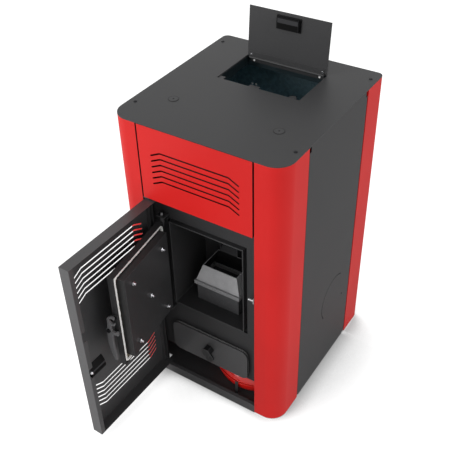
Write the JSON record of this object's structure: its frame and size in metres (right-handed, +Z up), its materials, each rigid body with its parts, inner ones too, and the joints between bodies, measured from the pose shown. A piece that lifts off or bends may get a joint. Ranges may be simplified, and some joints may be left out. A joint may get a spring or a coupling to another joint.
{
  "type": "pellet boiler",
  "caption": "Floor-standing pellet boiler with red corner columns, slotted outer door, fire door with latch, ash drawer, burner pot and a lidded hopper in the top plate.",
  "frame": {"origin": "centre of the base on the floor", "axes": "+Z up, the doors face -Y, +X is the boiler's right side as seen from the front"},
  "size_m": [0.6, 1.0632, 1.2393],
  "materials": {
    "red_paint": "satin powder coat",
    "grey_paint": "fine textured powder coat",
    "dark_paint": "fine textured heat-resistant paint",
    "bright_steel": "bright",
    "boiler_steel": "matt primer",
    "cast_iron": "raw",
    "galvanised": "galvanised",
    "black_steel": "black oxide",
    "black_plastic": "matt",
    "motor_case": "cast",
    "white_rope": "braided",
    "dark_rope": "braided",
    "insulation": "fibre board",
    "vessel_red": "gloss",
    "brass": "machined"
  },
  "bodies": {
    "casing": {"base_tray": "grey_paint", "front_column_left": "red_paint", "front_column_right": "red_paint", "rear_strip_left": "red_paint", "rear_strip_right": "red_paint", "side_panel_left": "grey_paint", "side_panel_right": "grey_paint", "back_panel": "grey_paint", "upper_front_panel": "red_paint", "front_plate": "dark_paint", "top_plate": "grey_paint", "plate_screws": "black_steel", "blanking_discs": "grey_paint", "hinge_brackets": "dark_paint", "hinge_pins": "bright_steel", "catch_pin": "bright_steel", "firebox": "dark_paint", "water_jacket": "boiler_steel", "burner_pot": "cast_iron", "burner_hood": "bright_steel", "igniter": "bright_steel", "drop_chute": "boiler_steel", "boiler_stand": "boiler_steel", "hopper_frame": "dark_paint", "hopper_bin": "galvanised", "lid_hinge_strip": "dark_paint", "strip_screws": "bright_steel", "auger_tube": "boiler_steel", "auger_motor": "motor_case", "fan_housing": "boiler_steel", "fan_motor": "motor_case", "flue_spigot": "boiler_steel", "expansion_vessel": "vessel_red", "circulation_pump": "cast_iron", "water_pipes": "galvanised", "safety_valve": "brass", "control_box": "dark_paint", "mains_inlet": "black_plastic"},
    "outer_door": {"outer_door_tray": "dark_paint", "door_finger_pull": "black_plastic", "door_ball_catch": "bright_steel"},
    "fire_door": {"fire_door_tray": "dark_paint", "fire_door_insulation": "insulation", "fire_door_rope": "white_rope", "fire_door_baffle": "dark_paint", "baffle_studs": "bright_steel", "latch_plate": "dark_paint", "latch_screws": "black_steel"},
    "latch": {"latch_lever": "black_steel"},
    "ash_drawer": {"ash_front": "dark_paint", "ash_rope": "dark_rope", "ash_pan": "galvanised"},
    "drawer_handle": {"ash_handle": "black_steel", "ash_latch_bar": "bright_steel"},
    "lid": {"hopper_lid": "grey_paint", "lid_pull": "black_plastic", "lid_hinge_leaf": "dark_paint", "lid_screws": "bright_steel"},
    "auger": {"auger_screw": "bright_steel"},
    "flue_fan": {"fan_wheel": "bright_steel"}
  },
  "joints": [
    {"name": "outer_door_hinge", "type": "hinge", "parent": "casing", "child": "outer_door", "pos_m": [-0.191, -0.3145, 0.4], "axis": [0, 0, 1], "range_deg": [0, 91.4]},
    {"name": "fire_door_hinge", "type": "hinge", "parent": "casing", "child": "fire_door", "pos_m": [-0.1576, -0.2923, 0.52], "axis": [0, 0, 1], "range_deg": [0, 83.2]},
    {"name": "latch_lever_pivot", "type": "hinge", "parent": "fire_door", "child": "latch", "pos_m": [-0.1347, -0.61949, 0.506], "axis": [0.1184, -0.993, 0], "range_deg": [-25, 9]},
    {"name": "ash_drawer_slide", "type": "slide", "parent": "casing", "child": "ash_drawer", "axis": [0, 1, 0], "range_m": [-0.22, 0]},
    {"name": "drawer_handle_turn", "type": "hinge", "parent": "ash_drawer", "child": "drawer_handle", "pos_m": [0, -0.29, 0.188], "axis": [0, 1, 0], "range_deg": [0, 90]},
    {"name": "hopper_lid_hinge", "type": "hinge", "parent": "casing", "child": "lid", "pos_m": [0, 0.2185, 1.066], "axis": [1, 0, 0], "range_deg": [0, 94.7]},
    {"name": "auger_turn", "type": "hinge", "parent": "casing", "child": "auger", "pos_m": [0, 0.1, 0.62], "axis": [0, 1, 0], "continuous": true},
    {"name": "flue_fan_turn", "type": "hinge", "parent": "casing", "child": "flue_fan", "pos_m": [-0.12, 0.06, 0.38], "axis": [1, 0, 0], "continuous": true}
  ],
  "couplings": [
    {"joint": "fire_door_hinge", "follows": "outer_door_hinge", "ratio": 0.91028}
  ]
}
